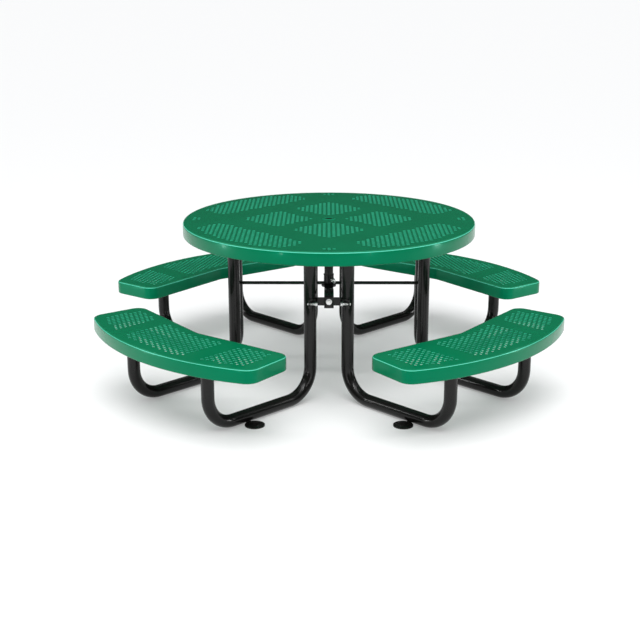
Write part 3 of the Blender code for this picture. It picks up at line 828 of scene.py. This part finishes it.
def build_umbrella_holder():
    """The socket with its weld and the screw's boss, the guide tube, and the ring in the top."""
    low = SIDE_STRAP_TOP + GAP
    lip = SLEEVE_TOP - 0.006
    wide = UMBRELLA_TUBE_RADIUS + GAP
    collar = SLEEVE_RADIUS + 0.001
    neck = SLEEVE_TOP - 0.004
    profile = [(UMBRELLA_BORE, low), (SLEEVE_RADIUS - 0.001, low), (SLEEVE_RADIUS, low + 0.001)]
    profile += [(SLEEVE_RADIUS, neck - 0.0005), (collar - 0.0004, neck), (collar, neck + 0.0005)]
    profile += [(collar, SLEEVE_TOP - 0.0008), (collar - 0.0008, SLEEVE_TOP), (wide, SLEEVE_TOP)]
    profile += [(wide, lip), (UMBRELLA_BORE, lip)]
    bm = bmesh.new()
    spun(bm, profile, 56)
    finish_piece("umbrella_socket_turned", bm, "black_powder_coat", ["umbrella_sleeve"])
    bm = bmesh.new()
    boss = [(SCREW_RADIUS + GAP, 0), (0.0068, 0), (0.0068, 0.0018), (0.0064, 0.0022)]
    boss.append((SCREW_RADIUS + GAP, 0.0022))
    spun(bm, boss, 28, along_screw(SLEEVE_RADIUS - 0.001))
    finish_piece("clamp_screw_boss", bm, "black_powder_coat")
    bm = bmesh.new()
    bead(bm, Vector((0, 0, low + 0.0012)), SLEEVE_RADIUS + 0.0004, 0.0018)
    finish_piece("umbrella_socket_weld", bm, "black_powder_coat")
    top = TOP_HEIGHT + GAP
    r = UMBRELLA_TUBE_RADIUS
    bottom = SLEEVE_TOP - 0.006 + GAP
    bm = bmesh.new()
    spun(bm, [(r, bottom), (r, top - 0.001), (UMBRELLA_BORE, top - 0.001), (UMBRELLA_BORE, bottom)], 48)
    finish_piece("umbrella_guide_tube", bm, "black_powder_coat", ["umbrella_tube"])
    bm = bmesh.new()
    crest = top + 0.0025
    ring = [(RING_RADIUS, top), (RING_RADIUS - 0.0004, top + 0.0012)]
    ring += [(RING_RADIUS - 0.0018, crest - 0.0003), (RING_RADIUS - 0.0035, crest)]
    ring += [(UMBRELLA_BORE + 0.003, crest), (UMBRELLA_BORE + 0.0008, crest - 0.0007)]
    ring += [(UMBRELLA_BORE, crest - 0.0022), (UMBRELLA_BORE, top - 0.0005)]
    ring.append((RING_RADIUS - 0.003, top - 0.0001))
    spun(bm, ring, 64)
    finish_piece("umbrella_hole_ring", bm, "green_coating", ["umbrella_tube"])


def build_clamp():
    """The pad and the eye screw, whose thread, collar and eye are all turned by hand."""
    start = UMBRELLA_BORE + 0.0004
    r = SCREW_RADIUS - 0.0003
    pad = [(0, 0), (r - 0.0008, 0), (r - 0.0002, 0.0003), (r, 0.0009), (r, PAD_LENGTH), (0, PAD_LENGTH)]
    bm = bmesh.new()
    spun(bm, pad, 28, along_screw(start))
    finish_piece("nylon_pad", bm, "black_nylon", ["pressure_pad"], body="pad")
    begin = start + PAD_LENGTH + GAP
    collar = SLEEVE_RADIUS + 0.001 + SCREW_TRAVEL + 0.001
    length = collar - begin
    shank = [(0, 0), (SCREW_RADIUS - 0.0008, 0)]
    turns = int((length - 0.001) / THREAD_PITCH)
    for i in range(turns):
        z = 0.0004 + i * THREAD_PITCH
        shank += [(SCREW_RADIUS - 0.0006, z), (SCREW_RADIUS, z + 0.0006)]
    shank += [(SCREW_RADIUS - 0.0003, length), (0.0051, length), (0.0055, length + 0.0004)]
    shank += [(0.0055, length + 0.0026), (0.0050, length + 0.003), (0, length + 0.003)]
    bm = bmesh.new()
    spun(bm, shank, 28, along_screw(begin))
    eye = SCREW_SIDE @ Vector((collar + 0.0028 + 0.0085, 0, SCREW_HEIGHT))
    torus(bm, eye, SCREW_SIDE @ Vector((0, 1, 0)), 0.0085, 0.0026, 40, 14)
    finish_piece("eye_screw", bm, "bright_zinc", ["clamp_screw"], body="screw")


def dress_cad_pieces():
    """Flat plates stay as modelled, with eased edges and the frame's finish."""
    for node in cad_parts.values():
        if node.hide_render:
            continue
        node.data.materials.clear()
        node.data.materials.append(FINISHES["black_powder_coat"])
        bevel = node.modifiers.new("eased edges", "BEVEL")
        bevel.width = 0.0009
        bevel.segments = 2
        bevel.limit_method = "ANGLE"
        bevel.angle_limit = radians(40)
        bevel.use_clamp_overlap = True


# ---------------------------------------------------------------- stage


def build_stage():
    bm = bmesh.new()
    bmesh.ops.create_grid(bm, x_segments=1, y_segments=1, size=FLOOR_HALF)
    mesh = bpy.data.meshes.new("floor")
    bm.to_mesh(mesh)
    bm.free()
    mesh.materials.append(floor_finish())
    floor = bpy.data.objects.new("floor", mesh)
    floor.location.z = FLOOR_LEVEL
    bpy.context.scene.collection.objects.link(floor)


def build_world():
    """A studio that is dim near eye level and bright overhead."""
    world = bpy.data.worlds.new("studio")
    bpy.context.scene.world = world
    world.use_nodes = True
    nodes, links = world.node_tree.nodes, world.node_tree.links
    where = nodes.new("ShaderNodeTexCoord").outputs["Generated"]
    split = nodes.new("ShaderNodeSeparateXYZ")
    links.new(where, split.inputs["Vector"])
    rise = spread(nodes, links, split.outputs["Z"], 0.04, 1.15, 0.42, 0.85)
    background = nodes["Background"]
    background.inputs["Color"].default_value = (0.97, 0.985, 1.0, 1)
    links.new(rise, background.inputs["Strength"])


def add_light(name, at, aim, width, height, power):
    data = bpy.data.lights.new(name, "AREA")
    data.shape = "RECTANGLE"
    data.size = width
    data.size_y = height
    data.energy = power
    light = bpy.data.objects.new(name, data)
    light.location = at
    light.rotation_euler = (Vector(aim) - Vector(at)).to_track_quat("-Z", "Y").to_euler()
    bpy.context.scene.collection.objects.link(light)


def build_lights():
    """A broad soft light from above, and strips whose reflections run down the tubes and rims."""
    data = bpy.data.lights.new("soft_sun", "SUN")
    data.energy = 1.52
    data.angle = radians(50)
    sun = bpy.data.objects.new("soft_sun", data)
    sun.rotation_euler = Vector((0.06, 0.24, -1.0)).to_track_quat("-Z", "Y").to_euler()
    bpy.context.scene.collection.objects.link(sun)
    add_light("left_strip", (-2.6, -3.9, 1.1), (0, 0, 0.30), 0.12, 2.4, 22)
    add_light("right_strip", (2.3, -4.2, 1.1), (0, 0, 0.30), 0.12, 2.4, 22)
    add_light("far_left_strip", (-3.8, -0.6, 1.0), (0, 0, 0.30), 0.30, 2.2, 34)
    add_light("far_right_strip", (3.8, -0.4, 1.0), (0, 0, 0.30), 0.30, 2.2, 34)
    add_light("rim_strip", (0.2, -2.9, 3.3), (0, -0.3, 0.5), 3.2, 0.16, 44)


def build_camera():
    """A camera at the photograph's height, distance and tilt."""
    pan, tilt, roll = radians(-0.32), radians(16.68), radians(-0.05)
    forward = Vector((sin(pan) * cos(tilt), cos(pan) * cos(tilt), -sin(tilt)))
    right = Vector((cos(pan), -sin(pan), 0))
    up = right.cross(forward)
    turned_right = right * cos(roll) + up * sin(roll)
    turned_up = up * cos(roll) - right * sin(roll)
    data = bpy.data.cameras.new("camera")
    data.lens = CAMERA_LENS
    data.sensor_width = 36
    data.clip_end = 800
    camera = bpy.data.objects.new("camera", data)
    matrix = Matrix((turned_right, turned_up, -forward)).transposed().to_4x4()
    camera.matrix_world = Matrix.Translation(CAMERA_AT) @ matrix
    bpy.context.scene.collection.objects.link(camera)
    bpy.context.scene.camera = camera


build_top()
build_seats()
build_legs()
build_pair_bars()
build_braces()
build_bolts()
build_umbrella_holder()
build_clamp()
dress_cad_pieces()
build_stage()
build_world()
build_lights()
build_camera()
bpy.context.scene.view_settings.view_transform = "Standard"
